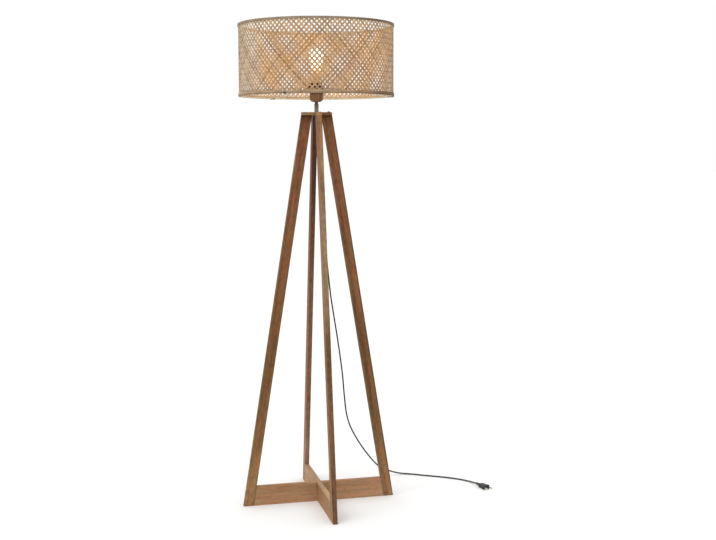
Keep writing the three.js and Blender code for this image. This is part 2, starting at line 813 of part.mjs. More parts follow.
// The filament: an arch that stands on the mount's upper end
function bulb_filament(mount_top) {
  const foot = mount_radius - filament_radius;
  const bottom = mount_top + fit_gap;
  const outline = [[foot, 0], [foot, 0.35], [filament_reach, 0.65], [filament_reach / 2, 1]];
  const right = outline.map(([aside, rise_share]) => [aside, bottom + rise_share * filament_rise]);
  const left = right.map(([aside, height]) => [-aside, height]).reverse();
  const points = [...right, ...left].map(([aside, height]) => new THREE.Vector3(aside, 0, height));
  return wire(new THREE.CatmullRomCurve3(points), filament_radius, 16, 6);
}

function build_bulb() {
  const insulator_bottom = bulb_bottom + button_height;
  const cap_bottom = insulator_bottom + insulator_height;
  const neck_bottom = cap_bottom + cap_length;
  add('bulb_contact', turned([
    [0, bulb_bottom],
    [button_radius * 0.7, bulb_bottom],
    [button_radius, insulator_bottom],
    [0, insulator_bottom],
  ], small_facets), 'steel');
  add('bulb_insulator', turned([
    [0, insulator_bottom],
    [button_radius * 1.1, insulator_bottom],
    [cap_radius * 0.8, cap_bottom],
    [0, cap_bottom],
  ], round_facets), 'black_glass');
  const skirt = cap_radius - socket_sheet;
  add('bulb_cap', turned([
    [0, cap_bottom],
    [cap_radius * 0.85, cap_bottom],
    [cap_radius, cap_bottom + socket_sheet * 4],
    [cap_radius, neck_bottom],
    [skirt, neck_bottom],
    [skirt, cap_bottom + socket_sheet * 4],
    [0, cap_bottom + socket_sheet * 4],
  ], round_facets), 'brass');
  add('bulb_glass', bulb_glass(neck_bottom), 'opal_glass');
  const mount_bottom = neck_bottom - glass_in_cap;
  add('bulb_mount', bulb_mount(mount_bottom), 'clear_glass');
  add('bulb_filament', bulb_filament(mount_bottom + mount_length), 'filament');
}

// The free flex, from the bush down to the plug's neck, never lower than where it lies
class FlexRoute extends THREE.CatmullRomCurve3 {
  getPoint(t, target) {
    const point = super.getPoint(t, target);
    point.z = Math.max(point.z, flex_radius + flex_lift);
    return point;
  }
}

// A two-pin plug lying flat, with the floor under it and its neck towards the flex
function plug_body() {
  const half = plug_width / 2;
  const waist = half * plug_waist_share;
  const end = plug_neck_length + plug_length;
  const middle = plug_neck_length + plug_length * 0.45;
  const outline = [
    [plug_neck_length, -waist * 0.6],
    [plug_neck_length + plug_length * 0.12, -waist],
    [middle, -waist],
    [end, -half],
    [end, half],
    [middle, waist],
    [plug_neck_length + plug_length * 0.12, waist],
    [plug_neck_length, waist * 0.6],
  ];
  const shape = new THREE.Shape(outline.map(([x, y]) => new THREE.Vector2(x, y)));
  const block = new THREE.ExtrudeGeometry(shape, {
    depth: plug_thickness - 2 * plug_ease,
    bevelEnabled: true,
    bevelThickness: plug_ease,
    bevelSize: plug_ease,
    bevelOffset: -plug_ease,
    bevelSegments: 2,
  }).translate(0, 0, plug_ease - plug_thickness / 2);
  const neck = turned([
    [0, fit_gap],
    [plug_neck_radius, fit_gap],
    [plug_neck_base_radius, plug_neck_length + plug_ease],
    [0, plug_neck_length + plug_ease],
  ], small_facets).rotateY(Math.PI / 2);
  return surface(solid(block).add(solid(neck)));
}

function plug_pin(side) {
  const start = plug_neck_length + plug_length + fit_gap;
  const tip = start + pin_length;
  const pin = turned([
    [0, start],
    [pin_radius, start],
    [pin_radius, tip - pin_radius / 2],
    [pin_radius / 2, tip],
    [0, tip],
  ], small_facets);
  return pin.rotateY(Math.PI / 2).translate(0, (side * pin_spacing) / 2, 0);
}

function build_flex() {
  const points = [[0, 0, flex_exit], ...flex_route].map(([x, y, z]) => new THREE.Vector3(x, y, z));
  add('flex', wire(new FlexRoute(points), flex_radius, flex_steps, 8), 'black_flex');
  const [x, y] = flex_route[flex_route.length - 1];
  const turn = THREE.MathUtils.degToRad(plug_angle);
  const place = (geometry) => geometry.rotateZ(turn).translate(x, y, plug_thickness / 2);
  add('plug_body', place(plug_body()), 'black_flex');
  add('plug_pin_left', place(plug_pin(1)), 'steel');
  add('plug_pin_right', place(plug_pin(-1)), 'steel');
}

build_stand();
build_stem();
build_lampholder();
build_shade();
build_bulb();
build_flex();

export default group;
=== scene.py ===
"""Floor lamp on two crossed bamboo frames, with a woven drum shade.

Sizes are in millimetres, as in the part's source. The places and lengths in the finishes are in metres."""

import math

import bpy
import numpy as np
from mathutils import Matrix, Vector


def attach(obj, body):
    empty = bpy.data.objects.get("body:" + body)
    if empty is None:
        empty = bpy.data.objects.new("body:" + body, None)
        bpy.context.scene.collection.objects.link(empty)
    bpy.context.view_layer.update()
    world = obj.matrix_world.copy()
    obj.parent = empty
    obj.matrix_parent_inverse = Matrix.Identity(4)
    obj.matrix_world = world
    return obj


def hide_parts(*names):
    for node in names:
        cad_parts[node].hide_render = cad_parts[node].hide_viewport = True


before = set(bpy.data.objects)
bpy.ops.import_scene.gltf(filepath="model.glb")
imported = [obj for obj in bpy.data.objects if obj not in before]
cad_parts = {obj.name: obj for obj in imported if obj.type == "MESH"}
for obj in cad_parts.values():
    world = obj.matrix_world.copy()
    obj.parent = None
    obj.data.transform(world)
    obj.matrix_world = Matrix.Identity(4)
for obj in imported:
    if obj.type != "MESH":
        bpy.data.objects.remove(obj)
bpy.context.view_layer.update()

MM = 0.001
TURN = 2 * math.pi
UP = (0, 0, 1)
EAST = (1, 0, 0)
NORTH = (0, 1, 0)
SHARP_EDGE = 38  # degrees between two faces, above which their edge is sharp

# Camera, recovered from the legs, the rails and the rims of the shade
CAMERA_PLACE = (-729.6, -3607.3, 1179.87)
CAMERA_RIGHT = (0.97230008, -0.23371831, -0.00288178)
CAMERA_UP = (0.02826804, 0.10534228, 0.99403417)
CAMERA_AHEAD = (0.23202041, 0.96658096, -0.10903107)
FOCAL_PIXELS = 1127.52
PHOTO_WIDTH = 716

# Stand
LEG_HEIGHT = 1280
LEG_DRIFT = 205  # how far a leg comes inwards on its way up
LEAN = math.atan2(LEG_DRIFT, LEG_HEIGHT)
BARS_TOP = 1290

# Stem and flex
SLEEVE_TOP = 1317
SLEEVE_RADIUS = 7
BORE_RADIUS = 5.3  # of the pieces that the rod goes through
ROD_BOTTOM = 1262
ROD_TOP = 1334
ROD_RADIUS = 4.72  # half way up its thread
ROD_BORE_RADIUS = 3.6
ROD_PITCH = 1.0
ROD_THREAD_DEPTH = 0.26
BUSH_RADIUS = 7.5
BUSH_TIP_RADIUS = 4.2
BUSH_BORE_RADIUS = 2.8
BUSH_GRIP = 8  # length of rod inside the bush
FLEX_EXIT = 1238
FLEX_RADIUS = 2.5
FLEX_LOWEST = 2.6  # its middle line above the floor
FLEX_STEP = 5  # between the points of its middle line

# Lampholder
HOLDER_BOTTOM = 1322
HOLDER_RADIUS = 22
HOLDER_WALL = 2
DOME_FLOOR_RADIUS = 8
DOME_HEIGHT = 12
CAP_TOP = 1348
FIT_GAP = 0.3
SPIGOT_LENGTH = 6
SPIGOT_RADIUS = 19.7
SHELL_BORE_RADIUS = 17.5
SHELL_STEP = 1358.3
SHELL_TOP = 1385.3
SHELL_THREAD_RADIUS = 19.2
SHELL_PITCH = 3.0
SHELL_THREAD_DEPTH = 0.3
RING_RADIUS = 27
RING_BORE_RADIUS = 19.8
RING_HEIGHT = 7
RING_FLUTES = 14
RING_FLUTE_DEPTH = 0.8
INSERT_TOP = 1358
SOCKET_HEIGHT = 25
SOCKET_BORE_RADIUS = 13.75
SOCKET_FLANGE_RADIUS = 16.4
SOCKET_SHEET = 0.5
SOCKET_WALL = (13.85, 14.1)
SOCKET_THREAD_DEPTH = 0.1
LAMP_PITCH = 3.629  # thread of a 27 mm lamp cap
PLAIN_LENGTH = 2  # of the screw shell and the bulb's cap, below their threads

# Bulb
BULB_BOTTOM = 1360.4
BULB_TOP = 1494.4
BULB_RADIUS = 24
BALL_START = -30  # degrees from its widest level, where the neck passes into the ball
NECK_RADIUS = 12.3
NECK_IN_CAP = 8
WAIST_POWER = 1.4  # above 1, the neck stays slim for longer
GLASS_WALL = 1.0
BUTTON_HEIGHT = 1.4
INSULATOR_HEIGHT = 3.4
BULB_CAP_LENGTH = 22
BULB_CAP_RADIUS = 12.75  # half way up its thread
BULB_CAP_BORE_RADIUS = 12.5
BULB_CAP_FLOOR_RADIUS = 11.1
BULB_THREAD_DEPTH = 0.3

# Shade
SHADE_BOTTOM = 1340
SHADE_TOP = 1568
WALL_RADIUS = 247.8
OUTER_HOOP = (249, 251)
INNER_HOOP = (243.6, 246.6)
LOWER_HOOP_HEIGHT = 10.5
UPPER_HOOP_HEIGHT = 7.5
STRIPS = 100
STRIP_WIDTH = 5.5
STRIP_THICKNESS = 0.7
STRIP_END = 1.2  # from the hoops' free edges
STRIP_POINTS = 110  # along a strip
WIDTH_SPREAD = 0.045  # share of the width
STRIP_DRIFT = 0.35  # spread of the strips' places
STRIP_SWAY = 0.25  # spread of how far they sway round their lines
SWAY_RISE = 190  # height in which a strip sways once
GRAIN_STEP = 0.37  # metres from one strip's grain to the next one's
WEAVE_DEPTH = 0.5
WEAVE_RISE = 16.9  # height between two places where a strip stands out

# Wire rings and spider
WIRE_RADIUS = 1.25
WIRE_RING_RADIUS = 242.05
WIRE_PLACE = 1.6  # from the hoops' free edges
PLATE_RADIUS = 33
SPIDER_BOTTOM = 1365.3
SPIDER_TOP = 1366.8
ARMS = 3
FIRST_ARM = -4  # degrees from +X
ARM_RADIUS = 1.5
ARM_STEP = 4  # between the points of its middle line
ARM_START = 27.6
ARM_END = 239.18
ARM_BEND = 0.82  # share of its length where it turns down to the wire ring


# Meshes

def put_in_scene(name, points, faces, uv, body, material):
    """A mesh from corner places in millimetres, a list of arrays of faces with equal corner counts, and a
    place on the pattern for each corner of each face."""
    counts = np.concatenate([np.full(len(block), block.shape[1]) for block in faces])
    loops = np.concatenate([block.ravel() for block in faces])
    starts = np.concatenate([[0], np.cumsum(counts)[:-1]])
    mesh = bpy.data.meshes.new(name)
    mesh.vertices.add(len(points))
    mesh.vertices.foreach_set("co", (points * MM).astype(np.float32).ravel())
    mesh.loops.add(len(loops))
    mesh.loops.foreach_set("vertex_index", loops.astype(np.int32))
    mesh.polygons.add(len(counts))
    mesh.polygons.foreach_set("loop_start", starts.astype(np.int32))
    mesh.update(calc_edges=True)
    mesh.validate()
    layer = mesh.uv_layers.new(name="Pattern")
    layer.uv.foreach_set("vector", uv.astype(np.float32).ravel())
    mesh.materials.append(material)
    mesh.shade_smooth()
    mesh.set_sharp_from_angle(angle=math.radians(SHARP_EDGE))
    piece = bpy.data.objects.new(name, mesh)
    bpy.context.scene.collection.objects.link(piece)
    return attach(piece, body) if body else piece


def grid_faces(along, around, closed_along):
    """Corner numbers of the four-cornered faces between neighbours of a grid of along by around points, which
    is closed around and may be closed along. Then the same numbers, not wrapped round, for the pattern's
    grid, which has one column more."""
    i = np.arange(along if closed_along else along - 1)
    i, j = (a.ravel() for a in np.meshgrid(i, np.arange(around), indexing="ij"))
    steps = [(i, j), (i + 1, j), (i + 1, j + 1), (i, j + 1)]
    wrapped = np.stack([(a % along) * around + b % around for a, b in steps], axis=1)
    return wrapped, np.stack([a * (around + 1) + b for a, b in steps], axis=1)


def surface(name, grid, uv, material, body="lamp", closed_along=False, flip=False):
    """One or several grids of points (copies, along, around, 3) as one mesh, closed around. uv has one column
    more than the grid, and one row more where the grid is closed along. Where it isn't, one face closes each
    end. flip turns the faces over."""
    grid, uv = np.asarray(grid, float), np.asarray(uv, float)
    if grid.ndim == 3:
        grid, uv = grid[None], uv[None]
    copies, along, around, _ = grid.shape
    wrapped, plain = grid_faces(along, around, closed_along)
    if flip:
        wrapped, plain = wrapped[:, ::-1], plain[:, ::-1]
    first = np.arange(copies)[:, None, None] * along * around
    flat_uv = uv.reshape(copies, -1, 2)
    faces = [(wrapped[None] + first).reshape(-1, 4)]
    uvs = [flat_uv[:, plain.ravel()].reshape(-1, 2)]
    if not closed_along:
        ring = np.arange(around)[::-1 if flip else 1]
        for row, end in ((0, ring), (along - 1, ring[::-1])):
            faces.append((row * around + end)[None] + first[:, 0])
            uvs.append(flat_uv[:, row * (around + 1) + end].reshape(-1, 2))
    return put_in_scene(name, grid.reshape(-1, 3), faces, np.concatenate(uvs), body, material)


def oblong(inner, outer, bottom, top):
    """The profile of a plain ring between two radii and two heights."""
    return [(inner, bottom), (outer, bottom), (outer, top), (inner, top)]


def rounded(profile, ease):
    """A closed profile of (radius, height) corners with each corner rounded: each corner c gives way to four
    points of the curve p = (1-t)^2 a + 2 t (1-t) c + t^2 b between two points a and b, ease away from it."""
    corners = np.asarray(profile, float)
    before, after = np.roll(corners, 1, 0) - corners, np.roll(corners, -1, 0) - corners
    reach_before = np.linalg.norm(before, axis=1, keepdims=True)
    reach_after = np.linalg.norm(after, axis=1, keepdims=True)
    a = corners + before / reach_before * np.minimum(ease, 0.45 * reach_before)
    b = corners + after / reach_after * np.minimum(ease, 0.45 * reach_after)
    t = np.linspace(0, 1, 4)[None, :, None]
    curve = (1 - t) ** 2 * a[:, None] + 2 * t * (1 - t) * corners[:, None] + t**2 * b[:, None]
    return curve.reshape(-1, 2)


def turned(name, profile, material, body="lamp", around=96, ease=0.4, bend=None):
    """A closed profile of (radius, height) points turned round the Z axis: x = r cos a, y = r sin a. The
    profile runs counter-clockwise with its radius to the right, and ease rounds its corners.
    bend(angle, radius, height) is added to the radius."""
    section = rounded(profile, ease) if ease else np.asarray(profile, float)
    angle = np.linspace(0, TURN, around, endpoint=False)[:, None]
    radius, height = section[None, :, 0], section[None, :, 1]
    if bend is not None:
        radius = radius + bend(angle, radius, height)
    grid = np.stack([radius * np.cos(angle), radius * np.sin(angle), height + 0 * angle], axis=-1)
    length = np.linalg.norm(np.roll(section, -1, 0) - section, axis=1)
    across = np.concatenate([[0], np.cumsum(length)])
    turn = np.linspace(0, TURN, around + 1) * section[:, 0].max()
    uv = np.stack(np.meshgrid(turn * MM, across * MM, indexing="ij"), axis=-1)
    return surface(name, grid, uv, material, body, closed_along=True)


def tube(name, path, radius, material, side=(0.35, 0.94, 0.0), around=16):
    """A round tube along a path: centre + r (cos a n + sin a b), where n is square to the path and to the
    fixed direction side, and b to both."""
    path = np.asarray(path, float)
    ahead = np.gradient(path, axis=0)
    ahead /= np.linalg.norm(ahead, axis=1, keepdims=True)
    first = np.cross(ahead, np.asarray(side, float))
    first /= np.linalg.norm(first, axis=1, keepdims=True)
    second = np.cross(ahead, first)
    angle = np.linspace(0, TURN, around, endpoint=False)[None, :, None]
    grid = path[:, None] + radius * (np.cos(angle) * first[:, None] + np.sin(angle) * second[:, None])
    length = np.concatenate([[0], np.cumsum(np.linalg.norm(np.diff(path, axis=0), axis=1))])
    across = np.linspace(0, 1, around + 1) * TURN * radius
    uv = np.stack(np.meshgrid(length * MM, across * MM, indexing="ij"), axis=-1)
    return surface(name, grid, uv, material, flip=True)


def smooth_path(points, step):
    """Points about a step apart on a smooth curve through the given points: cubic pieces whose slope at each
    point is that of the line between its neighbours."""
    points = np.asarray(points, float)
    chord = np.concatenate([[0], np.cumsum(np.sqrt(np.linalg.norm(np.diff(points, axis=0), axis=1)))])
    slope = np.gradient(points, chord, axis=0)
    fine = np.linspace(0, chord[-1], 4000)
    k = np.clip(np.searchsorted(chord, fine, side="right") - 1, 0, len(points) - 2)
    span = (chord[k + 1] - chord[k])[:, None]
    t = (fine[:, None] - chord[k][:, None]) / span
    curve = (
        (2 * t**3 - 3 * t**2 + 1) * points[k]
        + (t**3 - 2 * t**2 + t) * span * slope[k]
        + (3 * t**2 - 2 * t**3) * points[k + 1]
        + (t**3 - t**2) * span * slope[k + 1]
    )
    length = np.concatenate([[0], np.cumsum(np.linalg.norm(np.diff(curve, axis=0), axis=1))])
    places = np.linspace(0, length[-1], max(2, int(round(length[-1] / step)) + 1))
    return np.stack([np.interp(places, length, curve[:, axis]) for axis in range(3)], axis=1)


# Shader maths

class Tone:
    """A number or colour that changes over a surface. Sums and products of tones add the nodes for them."""

    def __init__(self, finish, socket):
        self.finish = finish
        self.socket = socket

    def math(self, operation, *others):
        return self.finish.node("ShaderNodeMath", {"operation": operation}, dict(enumerate((self, *others))))

    def __add__(self, other):
        return self.math("ADD", other)

    __radd__ = __add__

    def __sub__(self, other):
        return self.math("SUBTRACT", other)

    def __rsub__(self, other):
        return self.finish.node("ShaderNodeMath", {"operation": "SUBTRACT"}, {0: other, 1: self})

    def __mul__(self, other):
        return self.math("MULTIPLY", other)

    def __truediv__(self, other):
        return self.math("DIVIDE", other)


class Finish:
    """A material whose nodes are added one by one."""

    def __init__(self, name):
        self.material = bpy.data.materials.new(name)
        self.material.use_nodes = True
        self.tree = self.material.node_tree
        self.tree.nodes.clear()

    def node(self, kind, settings=None, values=None, output=0):
        made = self.tree.nodes.new(kind)
        for key, value in (settings or {}).items():
            setattr(made, key, value)
        for key, value in (values or {}).items():
            if isinstance(value, Tone):
                self.tree.links.new(value.socket, made.inputs[key])
            else:
                made.inputs[key].default_value = value
        return Tone(self, made.outputs[output])

    def vectors(self, operation, *values, output=0):
        return self.node("ShaderNodeVectorMath", {"operation": operation}, dict(enumerate(values)), output)

    def place(self):
        return self.node("ShaderNodeTexCoord", output="Object")

    def pattern(self):
        return self.node("ShaderNodeUVMap", {"uv_map": "Pattern"})

    def along(self, vector, direction):
        """How far a place lies along a direction."""
        return self.vectors("DOT_PRODUCT", vector, direction, output="Value")

    def split(self, vector):
        made = self.tree.nodes.new("ShaderNodeSeparateXYZ")
        self.tree.links.new(vector.socket, made.inputs[0])
        return [Tone(self, output) for output in made.outputs]

    def join(self, x, y, z=0.0):
        return self.node("ShaderNodeCombineXYZ", None, {0: x, 1: y, 2: z})

    def noise(self, vector, scale=1.0, detail=2.0, roughness=0.5):
        values = {"Vector": vector, "Scale": scale, "Detail": detail, "Roughness": roughness}
        return self.node("ShaderNodeTexNoise", None, values)

    def chance(self, number):
        """A number from 0 to 1 that differs for each whole number."""
        return self.node("ShaderNodeTexWhiteNoise", {"noise_dimensions": "1D"}, {"W": number})

    def step(self, number, low, high):
        """0 below low, 1 above high, and a smooth rise between them."""
        settings = {"interpolation_type": "SMOOTHSTEP"}
        return self.node("ShaderNodeMapRange", settings, {"Value": number, "From Min": low, "From Max": high})

    def knuckle(self, run, spacing, start, half_width, half_reach):
        """1 within half_width of a knuckle and 0 from half_reach away from it, in shares of the spacing
        between knuckles along the run. start shifts them by a share of it."""
        share = (run / spacing + start).math("FRACT")
        return 1 - self.step((share - 0.5).math("ABSOLUTE"), half_width, half_reach)

    def blend(self, share, first, second):
        settings = {"data_type": "RGBA", "clamp_factor": True}
        return self.node("ShaderNodeMix", settings, {0: share, 6: first, 7: second}, 2)

    def lit(self, colour, red, green=None, blue=None):
        """A colour made darker or lighter by an amount round 1, or by one for each of red, green and blue."""
        amounts = self.join(red, red if green is None else green, red if blue is None else blue)
        return self.vectors("MULTIPLY", colour, amounts)

    def stained_and_shaded(self, colour, place, stains_and_shading):
        """A colour times the strengths for red, green and blue of each band of stain, painted light and
        painted shade. A band (strengths, ramps) grows along each of its ramps (direction, start, end) from
        nothing at the start to full at the end."""
        for strengths, *ramps in stains_and_shading:
            share = 1.0
            for direction, start, end in ramps:
                share = self.step(self.along(place, direction), start, end) * share
            shares, gains = self.join(share, share, share), [strength - 1 for strength in strengths]
            colour = self.vectors("MULTIPLY", colour, self.vectors("MULTIPLY_ADD", shares, gains, (1, 1, 1)))
        return colour

    def close(self, colour, roughness, height=None, depth=0.1, **sockets):
        """Ends the material in one shader. height times depth, in millimetres, is the relief."""
        values = {"Base Color": colour, "Roughness": roughness}
        if height is not None:
            relief = {"Height": height, "Distance": depth * MM, "Strength": 1.0}
            values["Normal"] = self.node("ShaderNodeBump", None, relief)
        values.update({key.replace("_", " "): value for key, value in sockets.items()})
        shader = self.node("ShaderNodeBsdfPrincipled", None, values)
        end = self.tree.nodes.new("ShaderNodeOutputMaterial")
        self.tree.links.new(shader.socket, end.inputs[0])
        return self.material


def paint(red, green, blue):
    """A colour given as the photograph's numbers, made linear."""
    level = np.array([red, green, blue], float) / 255
    line = np.where(level <= 0.04045, level / 12.92, ((level + 0.055) / 1.055) ** 2.4)
    return (*line.tolist(), 1.0)


# Finishes

def board_finish(name, along, across, through, dark, light, seed, stains_and_shading=(), middle=0.0, streaky=1.0):
    """Laminated bamboo: bands 6 mm wide, each with its own tone, and fine fibres, streaks and redder and
    yellower patches along the board, with faint knuckles across each band every 270 mm or so. middle is where
    a redder streak runs, measured across the board. A less streaky board has a fainter grain and longer
    patches."""
    f = Finish(name)
    place = f.place()
    run, side, deep = (f.along(place, direction) for direction in (along, across, through))
    band_width = 0.0062
    wander = f.noise(f.join(run * 3.0, side * 20.0, deep * 20.0), detail=1.0)
    band = ((side + 10.0) / band_width + wander * 0.5).math("FLOOR")
    tone = f.chance(band * 7.0 + seed)
    fibres = f.noise(f.join(run * 9.0, side * 900.0, deep * 900.0), detail=3.0, roughness=0.6)
    streaks = f.noise(f.join(run * 5.0, side * 110.0, deep * 110.0), detail=2.0)
    patches = f.noise(f.join(run * (24 + 36 * streaky), side * 150.0, deep * 150.0 + seed), detail=1.0)
    warmth = f.noise(f.join(run * (6 + 12 * streaky) + seed, side * 80.0, deep * 80.0), detail=2.0) * 2 - 1
    yellow = f.noise(f.join(run * 17.0, side * 90.0 + seed, deep * 90.0), detail=2.0) * 2 - 1
    if middle:
        warmth = warmth + (1 - f.step((side - middle).math("ABSOLUTE"), 0.003, 0.015)) * 0.44 - 0.22
    knuckle = f.knuckle(run, 0.27, tone * 3.7 + seed, 0.002, 0.011)
    grain = patches * (0.2 + 0.6 * streaky) + (tone * 0.3 + fibres * 0.5 + streaks) * streaky
    colour = f.blend(grain - (1.2 * streaky - 0.4), dark, light)
    red = warmth * (0.18 + 0.12 * streaky)
    colour = f.lit(colour, 1 + red, 1 - red * 0.42, 1 - red * 0.75 + yellow * 0.16 * streaky)
    colour = f.lit(colour, 1 - knuckle * 0.16)
    colour = f.stained_and_shaded(colour, place, stains_and_shading)
    height = fibres * 0.5 - knuckle * 0.6
    return f.close(colour, 0.44 + fibres * 0.16, height, 0.06, Specular_IOR_Level=0.12)


def strip_finish(name, dark, light, seed, stains_and_shading):
    """Split bamboo: x of the pattern runs along the strip in metres, y counts strips and the share across
    one. Each strip has its own tone, with long fibres and a knuckle now and then, and is darker along its
    sides, partly its own colour there and partly painted shade between the strips. Redder and yellower clouds
    run over all of them."""
    f = Finish(name)
    run, count, _ = f.split(f.pattern())
    strip = count.math("FLOOR")
    share_across = count - strip
    tone = f.chance(strip * 3.0 + seed)
    fibres = f.noise(f.join(run * 26.0, count * 17.0, seed * 1.7), detail=3.0, roughness=0.6)
    streaks = f.noise(f.join(run * 3.0, count * 3.1, seed * 0.7), detail=1.0)
    knuckle = f.knuckle(run, 0.19, tone * 5.3, 0.004, 0.012)
    # darker along each strip's sides: partly the bamboo's own colour, partly painted shade between strips
    rim = f.step((share_across - 0.5).math("ABSOLUTE"), 0.32, 0.5)
    place = f.place()
    cloud = f.noise(place, 15.0, 1.0) * 2 - 1
    colour = f.blend(tone * 0.4 + fibres * 0.5 + streaks * 0.6 - 0.245, dark, light)
    colour = f.lit(colour, 1 - rim * 0.38 - knuckle * 0.22)
    colour = f.lit(colour, 1 + cloud * 0.12, 1.0, 1 - cloud * 0.4)
    colour = f.stained_and_shaded(colour, place, stains_and_shading)
    height = fibres - knuckle * 0.5 - rim * 0.6
    return f.close(colour, 0.5 + fibres * 0.2, height, 0.08, Specular_IOR_Level=0.25)


def hoop_finish(name, dark, light, stains_and_shading, bottom_shading=0.5):
    """Bent bamboo hoops: fibres along them, cloudy stain and a knuckle now and then. The last argument is the
    brightness at the bottom of the shade, below 1 on the outer lower hoop as painted shade under it, which
    passes into that of the rest over 6 mm."""
    f = Finish(name)
    place = f.place()
    run, across, _ = f.split(f.pattern())
    _, _, height = f.split(place)
    fibres = f.noise(f.join(run * 14.0, across * 1400.0), detail=3.0, roughness=0.6)
    streaks = f.noise(f.join(run * 2.2, across * 260.0, 3.0))
    stain = f.noise(f.join(run * 24.0, across * 40.0, 7.0))
    knuckle = f.knuckle(run, 0.31, 0.0, 0.003, 0.01)
    # painted shade along the bottom 6 mm of the outer lower hoop
    above_bottom_shading = f.step(height, SHADE_BOTTOM * MM, (SHADE_BOTTOM + 6) * MM)
    colour = f.blend(fibres * 0.7 + streaks * 0.8 + stain * 0.8 - 0.65, dark, light)
    colour = f.lit(colour, bottom_shading + above_bottom_shading * (1.04 - bottom_shading) - knuckle * 0.2)
    colour = f.stained_and_shaded(colour, place, stains_and_shading)
    return f.close(colour, 0.5 + fibres * 0.2, fibres - knuckle * 0.5, 0.08, Specular_IOR_Level=0.3)


def moulded_finish(name, colour, shade, roughness, flow=(1.0, 1.0, 1.0), stains_and_shading=(), shine=0.3):
    """Moulded plastic, glass or rubber: a very fine grain in relief and faint wear, which is drawn out along
    an axis whose flow is small. Drawn out upwards on the brown plastic, its tones make vertical streaks of
    painted sheen."""
    f = Finish(name)
    place = f.place()
    grain = f.noise(place, 2400.0, 2.0)
    wear_and_sheen = f.noise(f.vectors("MULTIPLY", place, flow), 60.0, 3.0, 0.6)
    tint = f.stained_and_shaded(f.blend(f.step(wear_and_sheen, 0.35, 0.7), colour, shade), place, stains_and_shading)
    return f.close(tint, roughness + wear_and_sheen * 0.12, grain, 0.02, Specular_IOR_Level=shine)


def metal_finish(name, colour, shade, roughness, metallic=1.0, brush=(1.0, 1.0, 1.0), stains_and_shading=()):
    """Plated or painted metal: soft cloudy tarnish and faint brushing, which is drawn out along an axis whose
    brush is small."""
    f = Finish(name)
    place = f.place()
    cloud = f.noise(place, 90.0, 3.0, 0.6)
    lines = f.noise(f.vectors("MULTIPLY", place, brush), 700.0, 2.0)
    tint = f.stained_and_shaded(f.blend(f.step(cloud, 0.3, 0.75), colour, shade), place, stains_and_shading)
    return f.close(tint, roughness + lines * 0.12, lines, 0.01, Metallic=metallic)


def ceramic_finish():
    f = Finish("unglazed_ceramic")
    place = f.place()
    speck = f.noise(place, 900.0, 3.0, 0.7)
    tint = f.blend(f.step(speck, 0.3, 0.7), paint(206, 200, 188), paint(232, 227, 216))
    return f.close(tint, 0.6 + speck * 0.2, speck, 0.03)


def glow_finish():
    """Opal glass lit from inside: brighter at its middle height than near its neck."""
    f = Finish("lit_opal_glass")
    place = f.place()
    _, _, height = f.split(place)
    body = f.step(height, 1.402, 1.442)
    cloud = f.noise(place, 40.0, 2.0)
    glass = f.blend(body, paint(206, 170, 124), paint(236, 226, 206))
    tint = f.blend(body, paint(240, 190, 130), paint(255, 248, 218))
    glow = f.lit(tint, body * 1.1 + cloud * 0.1)
    return f.close(glass, 0.3 + cloud * 0.1, cloud, 0.01, Emission_Color=glow, Emission_Strength=1.3)


def floor_finish():
    f = Finish("pale_floor")
    place = f.place()
    cloud = f.noise(place, 3.0, 3.0)
    tint = f.blend(cloud, paint(247, 247, 246), paint(250, 250, 249))
    return f.close(tint, 0.9 + cloud * 0.05)


def wear(node, material):
    """Gives a CAD node its finish."""
    mesh = bpy.data.objects[node].data
    mesh.materials.clear()
    mesh.materials.append(material)


# Flex, as it hangs and lies in the photograph

FLEX_ROUTE = [
    (0, 0, 1238),
    (3.3, 3.5, 1178),
    (13.7, 14.7, 1051),
    (26.6, 28.6, 924),
    (41.2, 44.3, 797),
    (56.2, 60.0, 684),
    (71.3, 75.0, 603),
    (84.5, 87.4, 534),
    (96.5, 98.5, 465),
    (106.6, 107.8, 398),
    (113.6, 114.2, 330),
    (122.6, 122.0, 264),
    (136.5, 133.5, 219),
    (158.5, 151.0, 176),
    (183.6, 168.2, 136),
    (210.0, 185.5, 99),
    (238.0, 201.0, 64),
    (269.0, 213.5, 34),
    (302.0, 220.0, 17.5),
    (338.0, 219.5, 6.5),
    (379.5, 208.5, 2.7),
    (419.0, 183.0, 2.7),
    (459.5, 158.0, 2.7),
    (498.0, 131.5, 2.7),
    (530.0, 104.0, 2.7),
    (555.5, 67.5, 3.9),
    (567.5, 30.5, 7),
]


def flex():
    """The flex's piece, the points of its middle line and its length."""
    # Painted light: the flex is made up to eight times lighter where it lies on the floor, fading out by 120
    # mm up.
    lit_where_lying = [((8.0, 8.0, 7.8), (UP, 0.12, 0.02))]
    black = moulded_finish("black_flex", paint(14, 15, 15), paint(20, 21, 21), 0.6, stains_and_shading=lit_where_lying)
    path = smooth_path(FLEX_ROUTE, FLEX_STEP)
    path[:, 2] = np.maximum(path[:, 2], FLEX_LOWEST)
    piece = tube("free_flex", path, FLEX_RADIUS, black)
    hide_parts("flex")
    length = np.linalg.norm(np.diff(path, axis=0), axis=1).sum()
    return piece, path, length


# Shade

